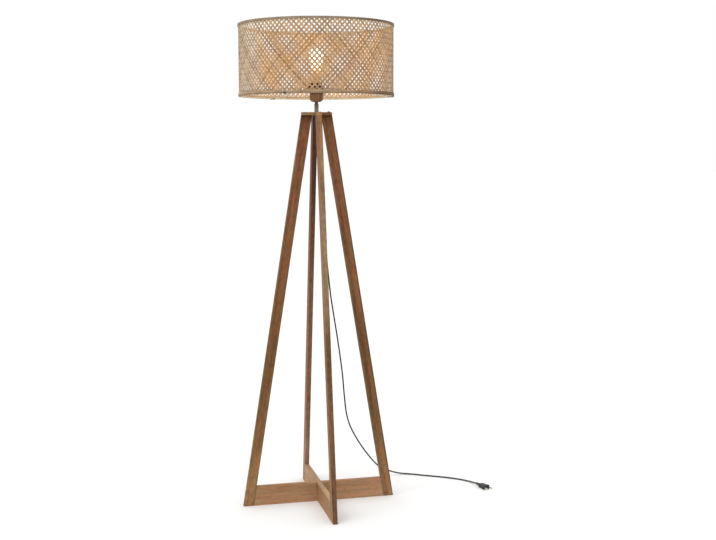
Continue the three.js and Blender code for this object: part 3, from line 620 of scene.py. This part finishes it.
def weave(name, direction, material, seed):
    """Strips that climb round the drum on the diagonal. At height z above its lower end, strip k of n lies at
    a = 2 pi k / n + direction z / (R slope), r = R + direction depth cos(2 pi z / rise), where slope is its
    rise for each millimetre round the drum, so it passes over one crossing strip and under the next. Its
    corners are set off along and square to that line. Each strip lies a little beside its place, sways a
    little round its line and has its own width."""
    chance = np.random.default_rng(seed)
    pitch = TURN * WALL_RADIUS / STRIPS
    slope = WEAVE_RISE / pitch
    tilt = math.atan(slope)
    low, high = SHADE_BOTTOM + STRIP_END, SHADE_TOP - STRIP_END
    end_ease = 0.2
    height = np.linspace(low, high, STRIP_POINTS)[None, :, None]
    strip = np.arange(STRIPS)[:, None, None]
    one_each = (STRIPS, 1, 1)
    drift = chance.normal(0, STRIP_DRIFT, one_each)
    sway = chance.normal(0, STRIP_SWAY, one_each)
    sway = sway * np.sin(TURN * (height - low) / SWAY_RISE + chance.uniform(0, TURN, one_each))
    width = STRIP_WIDTH * (1 + chance.normal(0, WIDTH_SPREAD, one_each))
    corner_across = np.array([-0.5, -0.44, 0.44, 0.5, 0.44, -0.44])[None, None, :]
    corner_out = np.array([0.0, 0.5, 0.5, 0.0, -0.5, -0.5])[None, None, :]
    across = corner_across * width
    place = strip * pitch + drift + sway + direction * (height - low) / slope
    place = place - across * math.sin(tilt) * direction
    level = height + across * math.cos(tilt)
    level = np.clip(level, low - end_ease, high + end_ease)
    wave = np.cos(TURN * (level - low) / WEAVE_RISE)
    radius = WALL_RADIUS + direction * WEAVE_DEPTH * wave + corner_out * STRIP_THICKNESS
    angle = place / WALL_RADIUS
    grid = np.stack([radius * np.cos(angle), radius * np.sin(angle), level + 0 * angle], axis=-1)
    run = (height - low) / math.sin(tilt) * MM + strip * GRAIN_STEP
    share = np.concatenate([corner_across + 0.5, corner_across[..., :1] + 0.5], axis=-1)
    uv = np.stack(np.broadcast_arrays(run, strip + (0.02 + 0.96 * share)), axis=-1)
    return surface(name, grid, uv, material, flip=direction < 0)


def hoop(place, level, inner, outer, bottom, top, material, seed):
    """A bent bamboo hoop: a rounded oblong section carried round the drum. Its radius wanders a
    little: r + 0.10 sin 3a + 0.07 sin 11a, each with a shift of its own."""
    shift = np.random.default_rng(seed).uniform(0, TURN, 2)
    room = 0.2

    def wander(angle, radius, height):
        return 0.10 * np.sin(3 * angle + shift[0]) + 0.07 * np.sin(11 * angle + shift[1])

    profile = oblong(inner + room, outer - room, bottom, top)
    piece = turned(f"hoop_{place}_{level}", profile, material, around=240, ease=1.0, bend=wander)
    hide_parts(f"{place}_hoop_{level}")


def shade():
    """The two layers of strips and the four hoops. The bamboo is paler on the shade's left side and near its
    top, and the outer hoops are darker on its right side."""
    rightward, leftward = (0.97, -0.23, 0), (-0.97, 0.23, 0)
    # The strips are made paler towards the shade's left side and near its top.
    paler_left_and_top = [((1.05, 1.26, 1.56), (leftward, 0.12, 0.24)), ((1.1, 1.14, 1.14), (UP, 1.52, 1.56))]
    up_strips = strip_finish("split_bamboo_rising", paint(110, 81, 54), paint(214, 176, 133), 3.0, paler_left_and_top)
    down_strips = strip_finish(
        "split_bamboo_falling", paint(104, 76, 50), paint(208, 168, 126), 8.0, paler_left_and_top
    )
    rising = weave("strips_rising", 1, up_strips, 11)
    falling = weave("strips_falling", -1, down_strips, 12)
    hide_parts("shade_weave")
    # The outer lower hoop is made darker towards the shade's right side, the upper one darker on the right and
    # a little darker at the far left.
    low_hoop_tones = [((0.83, 0.71, 0.64), (rightward, 0.07, 0.16)), ((0.5, 0.45, 0.32), (rightward, 0.16, 0.22))]
    high_hoop_tones = [((0.6, 0.54, 0.48), (rightward, 0.07, 0.2)), ((0.85, 0.86, 0.8), (leftward, 0.2, 0.25))]
    low_rim = hoop_finish("low_hoop_bamboo", paint(106, 82, 56), paint(197, 168, 134), low_hoop_tones)
    high_rim = hoop_finish("high_hoop_bamboo", paint(106, 88, 72), paint(166, 144, 120), high_hoop_tones)
    inside = hoop_finish("inside_hoop_bamboo", paint(102, 84, 61), paint(174, 150, 120), [], 1.04)
    for place, radii, low_finish, high_finish, seed in (
        ("outer", OUTER_HOOP, low_rim, high_rim, 1),
        ("inner", INNER_HOOP, inside, inside, 3),
    ):
        hoop(place, "lower", *radii, SHADE_BOTTOM, SHADE_BOTTOM + LOWER_HOOP_HEIGHT, low_finish, seed)
        hoop(place, "upper", *radii, SHADE_TOP - UPPER_HOOP_HEIGHT, SHADE_TOP, high_finish, seed + 1)


def wire_rings():
    """Rings of matt zinc wire inside the hoops."""
    zinc = metal_finish("ring_zinc", paint(192, 176, 154), paint(174, 158, 138), 0.6, 0.2)
    corners = np.linspace(0, TURN, 16, endpoint=False)
    for level, height in (("lower", SHADE_BOTTOM + WIRE_PLACE), ("upper", SHADE_TOP - WIRE_PLACE)):
        section = [
            (WIRE_RING_RADIUS + WIRE_RADIUS * math.cos(a), height + WIRE_RADIUS * math.sin(a))
            for a in corners
        ]
        piece = turned(f"ring_{level}", section, zinc, around=180, ease=0)
        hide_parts(f"wire_ring_{level}")


def spider():
    """The plate between the threaded rings, and the three arms of zinc wire, which are painted darker near
    the bulb, a painted shade that keeps them from glinting in its light."""
    steel = metal_finish("dull_steel", paint(92, 90, 85), paint(78, 76, 72), 0.55, 0.3)
    section = oblong(RING_BORE_RADIUS, PLATE_RADIUS, SPIDER_BOTTOM, SPIDER_TOP)
    plate = turned("spider_plate", section, steel, ease=0.2)
    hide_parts("spider")
    middle = (SPIDER_BOTTOM + SPIDER_TOP) / 2
    low = SHADE_BOTTOM + WIRE_PLACE
    bend = ARM_START + (ARM_END - ARM_START) * ARM_BEND
    shape = [
        (ARM_START, middle),
        (ARM_START + (bend - ARM_START) * 0.5, low + (middle - low) * 0.7),
        (bend, low + (middle - low) * 0.2),
        (ARM_END, low),
    ]
    for k in range(ARMS):
        turn = math.radians(FIRST_ARM + 120 * k)
        outwards = (math.cos(turn), math.sin(turn), 0)
        points = [(r * outwards[0], r * outwards[1], z) for r, z in shape]
        # painted shade: each arm is five times darker within 50 mm of the axis, fading out by 190 mm
        shaded_near_bulb = [((0.2, 0.195, 0.19), (outwards, 0.19, 0.05))]
        bright, grey = paint(208, 203, 194), paint(184, 179, 170)
        zinc = metal_finish(f"arm_zinc_{k + 1}", bright, grey, 0.24, stains_and_shading=shaded_near_bulb)
        side = (-outwards[1], outwards[0], 0)
        arm = tube(f"spider_arm_{k + 1}", smooth_path(points, ARM_STEP), ARM_RADIUS, zinc, side)


# Stem, lampholder and bulb

def thread(pitch, depth, radii, low, high):
    """A rounded screw thread on the points whose radius is between two radii: the radius rises and falls by
    depth cos(2 pi z / pitch - a) between two heights, fading out over a pitch at each end."""

    def change(angle, radius, height):
        fade = np.clip((height - low) / pitch, 0, 1) * np.clip((high - height) / pitch, 0, 1)
        threaded = (radius > radii[0]) & (radius < radii[1])
        return depth * np.cos(TURN * (height / pitch) - angle) * fade * threaded

    return change


def stem(finishes):
    """The sleeve, the threaded rod with its bore and the bush on the rod's lower end, all turned round the
    lamp's axis."""
    brown, steel, black = (finishes[name] for name in ("brown_metal", "dark_steel", "black_plug"))
    section = oblong(BORE_RADIUS, SLEEVE_RADIUS, BARS_TOP, SLEEVE_TOP)
    sleeve = turned("sleeve", section, brown, ease=0.25)
    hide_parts("stem_sleeve")
    levels = np.linspace(ROD_BOTTOM, ROD_TOP, 433)
    section = [(ROD_RADIUS, z) for z in levels] + [(ROD_BORE_RADIUS, z) for z in levels[::-12]]
    crests = thread(ROD_PITCH, ROD_THREAD_DEPTH, (4.5, 5), ROD_BOTTOM, ROD_TOP)
    rod = turned("rod", section, steel, around=32, ease=0, bend=crests)
    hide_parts("threaded_rod")
    section = [
        (BUSH_BORE_RADIUS, FLEX_EXIT),
        (BUSH_TIP_RADIUS, FLEX_EXIT),
        (BUSH_RADIUS, ROD_BOTTOM),
        (BUSH_RADIUS, ROD_BOTTOM + BUSH_GRIP),
        (BORE_RADIUS, ROD_BOTTOM + BUSH_GRIP),
        (BORE_RADIUS, ROD_BOTTOM - FIT_GAP),
        (BUSH_BORE_RADIUS, ROD_BOTTOM - FIT_GAP),
    ]
    bush = turned("bush", section, black, ease=0.6)
    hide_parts("flex_bush")


def lampholder(finishes):
    """The cap, whose dome is a quarter of an oval, r = floor + wide sin a, z = bottom + high (1 - cos a), both
    outside and inside. The shell with its thread, the two threaded rings, whose rims sink by
    depth / 2 (1 + cos 14a) for their flutes, and the screw shell with its thread."""
    plastic = finishes["brown_plastic"]
    arc = np.radians(np.linspace(0, 90, 13))
    wide, high = HOLDER_RADIUS - DOME_FLOOR_RADIUS, DOME_HEIGHT
    outer = [(DOME_FLOOR_RADIUS + wide * math.sin(a), HOLDER_BOTTOM + high * (1 - math.cos(a))) for a in arc]
    rim = HOLDER_BOTTOM + DOME_HEIGHT
    wide, high = wide - HOLDER_WALL, high - HOLDER_WALL
    inner = [(DOME_FLOOR_RADIUS + wide * math.sin(a), rim - high * math.cos(a)) for a in arc[::-1]]
    section = [
        (BORE_RADIUS, HOLDER_BOTTOM),
        *outer,
        (HOLDER_RADIUS, CAP_TOP),
        (HOLDER_RADIUS - HOLDER_WALL, CAP_TOP),
        *inner,
        (BORE_RADIUS, HOLDER_BOTTOM + HOLDER_WALL),
    ]
    cap = turned("cap", section, plastic, ease=0.3)
    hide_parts("holder_cap")
    section = [
        (SHELL_BORE_RADIUS, CAP_TOP - SPIGOT_LENGTH),
        (SPIGOT_RADIUS, CAP_TOP - SPIGOT_LENGTH),
        (SPIGOT_RADIUS, CAP_TOP + FIT_GAP),
        (HOLDER_RADIUS, CAP_TOP + FIT_GAP),
        (HOLDER_RADIUS, SHELL_STEP),
        *[(SHELL_THREAD_RADIUS, z) for z in np.linspace(SHELL_STEP, SHELL_TOP, 55)],
        (SHELL_BORE_RADIUS, SHELL_TOP),
    ]
    crests = thread(SHELL_PITCH, SHELL_THREAD_DEPTH, (18.9, 19.4), SHELL_STEP, SHELL_TOP)
    shell = turned("shell", section, plastic, ease=0.15, bend=crests)
    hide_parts("holder_shell")

    def flutes(angle, radius, height):
        half = RING_FLUTE_DEPTH / 2
        return np.where(radius > RING_RADIUS - 2, -half - half * np.cos(RING_FLUTES * angle), 0)

    for name, level, bottom in (("ring_under", "lower", SHELL_STEP), ("ring_over", "upper", SPIDER_TOP)):
        section = oblong(RING_BORE_RADIUS, RING_RADIUS, bottom, bottom + RING_HEIGHT)
        ring = turned(name, section, plastic, around=168, ease=0.5, bend=flutes)
        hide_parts(f"shade_ring_{level}")
    low, high = INSERT_TOP + PLAIN_LENGTH, INSERT_TOP + SOCKET_HEIGHT
    levels = np.linspace(low, high, 70)
    section = [
        (SOCKET_BORE_RADIUS, INSERT_TOP),
        (SOCKET_FLANGE_RADIUS, INSERT_TOP),
        (SOCKET_FLANGE_RADIUS, INSERT_TOP + SOCKET_SHEET),
        *[(SOCKET_WALL[1], z) for z in levels],
        *[(SOCKET_WALL[0], z) for z in levels[::-1]],
    ]
    crests = thread(LAMP_PITCH, SOCKET_THREAD_DEPTH, (13, 15), low, high)
    socket = turned("socket_shell", section, finishes["brass"], ease=0, bend=crests)
    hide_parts("screw_shell")


def bulb(finishes):
    """The cap with its thread, and the opal glass with a thin wall. Its neck widens by s s (3 - 2 s), where
    s = t^1.4 for the share t of the way up, into the ball r = R cos a, z = centre + R sin a, which has the
    light in its middle."""
    cap_bottom = BULB_BOTTOM + BUTTON_HEIGHT + INSULATOR_HEIGHT
    thread_bottom = cap_bottom + PLAIN_LENGTH
    cap_top = cap_bottom + BULB_CAP_LENGTH
    near_axis = 0.01
    section = [
        (near_axis, cap_bottom),
        (BULB_CAP_FLOOR_RADIUS, cap_bottom),
        *[(BULB_CAP_RADIUS, z) for z in np.linspace(thread_bottom, cap_top, 100)],
        (BULB_CAP_BORE_RADIUS, cap_top),
        (BULB_CAP_BORE_RADIUS, thread_bottom),
        (near_axis, thread_bottom),
    ]
    crests = thread(LAMP_PITCH, BULB_THREAD_DEPTH, (12.6, 13), thread_bottom, cap_top)
    cap = turned("bulb_screw_cap", section, finishes["brass"], "bulb", ease=0, bend=crests)
    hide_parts("bulb_cap")
    centre = BULB_TOP - BULB_RADIUS
    ball_bottom = centre + BULB_RADIUS * math.sin(math.radians(BALL_START))
    waist_end = BULB_RADIUS * math.cos(math.radians(BALL_START))
    t = np.linspace(0, 1, 18)[:-1]
    rise = t**WAIST_POWER
    swell = rise * rise * (3 - 2 * rise)
    waist_radius = NECK_RADIUS + (waist_end - NECK_RADIUS) * swell
    waist = np.stack([waist_radius, cap_top + (ball_bottom - cap_top) * t], 1)
    turn = np.radians(np.linspace(BALL_START, 89.5, 40))
    ball = np.stack([BULB_RADIUS * np.cos(turn), centre + BULB_RADIUS * np.sin(turn)], 1)
    outer = np.concatenate([[[NECK_RADIUS, cap_top - NECK_IN_CAP]], waist, ball])
    back = outer[::-1]
    sideways = np.minimum(GLASS_WALL, back[:, 0] * 0.9)
    downwards = np.maximum(back[:, 1] - centre, 0) / BULB_RADIUS * GLASS_WALL
    inner = back - np.stack([sideways, downwards], 1)
    section = np.concatenate([outer, inner])
    glass = turned("opal_glass", section, finishes["opal_glass"], "bulb", ease=0, around=72)
    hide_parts("bulb_glass")
    glass.visible_shadow = False
    light = put_light("bulb_light", "POINT", 3.0)
    light.location = (0, 0, centre * MM)
    light.visible_camera = False
    light.data.color = (1.0, 0.915, 0.77)
    light.data.shadow_soft_size = BULB_RADIUS * MM


# Boards

# Ramps for the boards' painted light and shade: near the floor, at the top of the stand, on the left faces,
# low down and half way up; a painted shadow under the bars, and a painted contact shadow, a dark line, where
# the left and right legs meet their bar.
LEFT_SIDE = (EAST, -0.0072, -0.0076)
FOOT = (UP, 0.34, 0.02)
MIDDLE = (UP, 0.3, 0.75)
HEAD = (UP, 0.45, 1.15)
LOW_DOWN = (UP, 0.35, 0.1)
SHADOW_UNDER_BARS = ((0.55, 0.53, 0.5), (UP, 1.235, 1.282))
CONTACT_SHADOW_AT_BARS = ((0.55, 0.46, 0.38), (UP, 1.269, 1.278))
LEG_LOOKS = {  # direction from the lamp's axis, dark and light tones, bands of painted light and shade
    "right": (
        (1, 0),
        (71, 45, 23),
        (131, 92, 56),
        [((1.65, 1.9, 2.35), FOOT), ((1.34, 1.25, 1.5), HEAD), SHADOW_UNDER_BARS, CONTACT_SHADOW_AT_BARS],
    ),
    "back": (
        (0, 1),
        (87, 54, 33),
        (155, 109, 80),
        [
            ((1.4, 1.6, 1.95), FOOT),
            ((0.52, 0.42, 0.32), HEAD),
            SHADOW_UNDER_BARS,
            ((1.15, 1.2, 1.1), LEFT_SIDE, LOW_DOWN),
            ((1.1, 1.1, 0.92), LEFT_SIDE, MIDDLE),
        ],
    ),
    "left": (
        (-1, 0),
        (73, 46, 24),
        (133, 95, 57),
        [((1.7, 1.95, 2.3), FOOT), ((1.26, 1.12, 1.35), HEAD), SHADOW_UNDER_BARS, CONTACT_SHADOW_AT_BARS],
    ),
    "front": (
        (0, -1),
        (80, 48, 28),
        (143, 100, 66),
        [
            ((0.95, 1.0, 1.15), FOOT),
            ((1.6, 2.0, 2.4), (UP, 0.52, 0.78)),
            ((1.15, 0.95, 0.88), (UP, 1.1, 1.24)),
            ((1.45, 1.8, 1.9), LEFT_SIDE, LOW_DOWN),
            ((0.78, 0.78, 0.74), LEFT_SIDE, MIDDLE),
            ((1.19, 1.2, 1.22), (EAST, -0.0076, -0.0072), (UP, 1.03, 1.08), (UP, 1.17, 1.12)),
        ],
    ),
}
LEG_MIDDLE = 0.2353  # a leg's middle line, measured square to it from the lamp's foot
# Painted light and shade on the rails: the left-right rail lighter low down and over all but its left end, and
# darker along the top of its right part, painted shadow; the front-back rail lighter on its top face, most at
# the front, and on its sides towards the back.
RAIL_TOP = (UP, 0.0594, 0.0599)
RAIL_LIGHT_AND_SHADE = {
    "left_right": [
        ((1.12, 1.14, 1.2), (EAST, -0.15, -0.05)),
        ((1.12, 1.15, 1.2), (UP, 0.042, 0.024)),
        ((0.95, 0.93, 0.97), (EAST, 0.02, 0.06), (UP, 0.038, 0.05)),
    ],
    "front_back": [
        ((1.08, 1.25, 1.4), RAIL_TOP),
        ((1.25, 1.28, 1.25), RAIL_TOP, (NORTH, -0.05, -0.12)),
        ((1.3, 1.38, 1.45), (UP, 0.0599, 0.0594), (NORTH, 0.0, 0.1)),
    ],
}


def dress_boards():
    """Each board's grain runs along it, so each has the directions of its own length, width and depth. Painted
    light and shade give each leg its own brightness: the left, right and back legs lighter near the floor, as
    painted light from the floor, the left, right and front legs lighter towards the top of the stand and the
    back one darker, painted shadow under the bars, a painted contact shadow where the left and right legs meet
    their bar, and another brightness on the left sides of the front and back legs, which face the window. The
    rails have painted light and shade of their own, and the right half of the left-right bar is darker and
    redder."""
    for k, (end, ((x, y), dark, light, stains_and_shading)) in enumerate(LEG_LOOKS.items()):
        along = (-x * math.sin(LEAN), -y * math.sin(LEAN), math.cos(LEAN))
        across = (x * math.cos(LEAN), y * math.cos(LEAN), math.sin(LEAN))
        name, through, seed = f"leg_bamboo_{end}", (-y, x, 0), 1.3 + k
        dark, light = paint(*dark), paint(*light)
        leg = board_finish(name, along, across, through, dark, light, seed, stains_and_shading, LEG_MIDDLE)
        wear(f"leg_{end}", leg)
    for k, (node, x, y) in enumerate((("left_right", 1, 0), ("front_back", 0, 1))):
        dark, light = paint(112, 78, 50), paint(178, 138, 100)
        name, stains_and_shading = f"rail_bamboo_{node}", RAIL_LIGHT_AND_SHADE[node]
        rail = board_finish(name, (x, y, 0), UP, (y, x, 0), dark, light, 7.1 + k, stains_and_shading, streaky=0.5)
        wear(f"rail_{node}", rail)
        dark, light = paint(110, 82, 52), paint(184, 150, 108)
        stains_and_shading = [((0.64, 0.44, 0.48), (EAST, -0.004, 0.012))] if x else []
        bar = board_finish(f"bar_bamboo_{node}", (x, y, 0), (y, x, 0), UP, dark, light, 9.7 + k, stains_and_shading)
        wear(f"bar_{node}", bar)


# Room and camera

def put_light(name, kind, strength):
    """A light at the lamp's foot, linked into the scene."""
    data = bpy.data.lights.new(name, kind)
    data.energy = strength
    light = bpy.data.objects.new(name, data)
    bpy.context.scene.collection.objects.link(light)
    return light


def light_room():
    """A white room and a wide soft window, high on the left and a little in front."""
    world = bpy.data.worlds.new("pale_room")
    world.use_nodes = True
    white = world.node_tree.nodes["Background"]
    white.inputs["Color"].default_value = (1.0, 1.0, 1.0, 1.0)
    white.inputs["Strength"].default_value = 1.0
    bpy.context.scene.world = world
    window = put_light("window", "SUN", 0.7)
    window.data.angle = math.radians(40)
    window.rotation_euler = Vector((2.2, 1.2, -2.2)).to_track_quat("-Z", "Y").to_euler()
    bpy.context.scene.view_settings.view_transform = "Standard"


def floor():
    """A wide flat square at height 0."""
    reach = 40000.0
    corners = np.array([(-reach, -reach, 0), (reach, -reach, 0), (reach, reach, 0), (-reach, reach, 0)])
    piece = put_in_scene("floor", corners, [np.array([[0, 1, 2, 3]])], np.zeros((4, 2)), None, floor_finish())


def place_camera():
    """The photograph's camera, from its place and the directions to its right, up and ahead."""
    camera = bpy.data.cameras.new("camera")
    camera.sensor_fit = "HORIZONTAL"
    camera.sensor_width = 36
    camera.lens = FOCAL_PIXELS / PHOTO_WIDTH * camera.sensor_width
    camera.clip_start, camera.clip_end = 0.05, 200
    holder = bpy.data.objects.new("camera", camera)
    bpy.context.scene.collection.objects.link(holder)
    turn = Matrix([CAMERA_RIGHT, CAMERA_UP, [-a for a in CAMERA_AHEAD]]).transposed()
    holder.matrix_world = Matrix.Translation(Vector(CAMERA_PLACE) * MM) @ turn.to_4x4()
    bpy.context.scene.camera = holder


# The whole lamp

HOLDER_SHADOWS = [((0.55, 0.55, 0.55), (UP, 1.3455, 1.3495)), ((0.26, 0.21, 0.18), (UP, 1.362, 1.366))]
# Painted reflection: the sleeve grows lighter towards its foot, twice as bright where it meets the bars.
SLEEVE_FOOT_REFLECTION = [((2.0, 2.0, 2.1), (UP, 1.314, 1.2905))]
FINISHES = {
    # The brown plastic's flow draws its two tones into vertical streaks, a painted sheen down the lampholder.
    "brown_plastic": moulded_finish(
        "brown_plastic", paint(136, 100, 74), paint(92, 62, 38), 0.4, (1.6, 1.6, 0.1), HOLDER_SHADOWS, 0.1
    ),
    "brown_metal": metal_finish(
        "brown_metal", paint(100, 88, 76), paint(86, 75, 64), 0.34, 0.35, (1, 1, 0.05), SLEEVE_FOOT_REFLECTION
    ),
    "steel": metal_finish("zinc_steel", paint(208, 203, 194), paint(184, 179, 170), 0.24),
    "dark_steel": metal_finish("dark_steel", paint(74, 62, 54), paint(58, 48, 42), 0.4, 0.7),
    "brass": metal_finish("brass", paint(200, 170, 104), paint(178, 148, 88), 0.26),
    "filament": metal_finish("filament", paint(255, 214, 150), paint(250, 200, 130), 0.5, 0.2),
    "ceramic": ceramic_finish(),
    "opal_glass": glow_finish(),
    "black_glass": moulded_finish("black_glass", paint(28, 28, 30), paint(36, 36, 38), 0.15),
    "clear_glass": moulded_finish("clear_glass", paint(214, 222, 222), paint(226, 232, 232), 0.08),
    "black_plug": moulded_finish("black_plug", paint(34, 35, 36), paint(44, 45, 46), 0.38),
    "beech": moulded_finish("dowel_wood", paint(196, 160, 112), paint(214, 180, 134), 0.6),
}
SIDES = ("left", "right", "front", "back")
WEARERS = {
    "dark_steel": (
        *[f"rim_clip_{side}" for side in SIDES[1:]],
        *[f"bar_screw_{side}" for side in SIDES],
        "stem_washer",
        "stem_nut",
    ),
    "beech": [f"dowel_{side}_{level}" for side in SIDES for level in ("lower", "upper")],
    "steel": ("holder_lock_nut", "plug_pin_left", "plug_pin_right", "bulb_contact"),
    "brass": ("centre_contact", "terminal_screw_live", "terminal_screw_neutral"),
    "black_plug": ("flex_in_stem", "lead_live", "lead_neutral", "plug_body"),
    "ceramic": ("holder_insert",),
    "black_glass": ("bulb_insulator",),
    "clear_glass": ("bulb_mount",),
    "filament": ("bulb_filament",),
}

place_camera()
flex_piece, flex_path, flex_length = flex()
shade()
wire_rings()
spider()
stem(FINISHES)
lampholder(FINISHES)
bulb(FINISHES)
dress_boards()
for finish, nodes in WEARERS.items():
    for node in nodes:
        wear(node, FINISHES[finish])
flex_length * MM
(flex_path * MM).tolist()
floor()
light_room()
print("flex length", round(float(flex_length), 1))
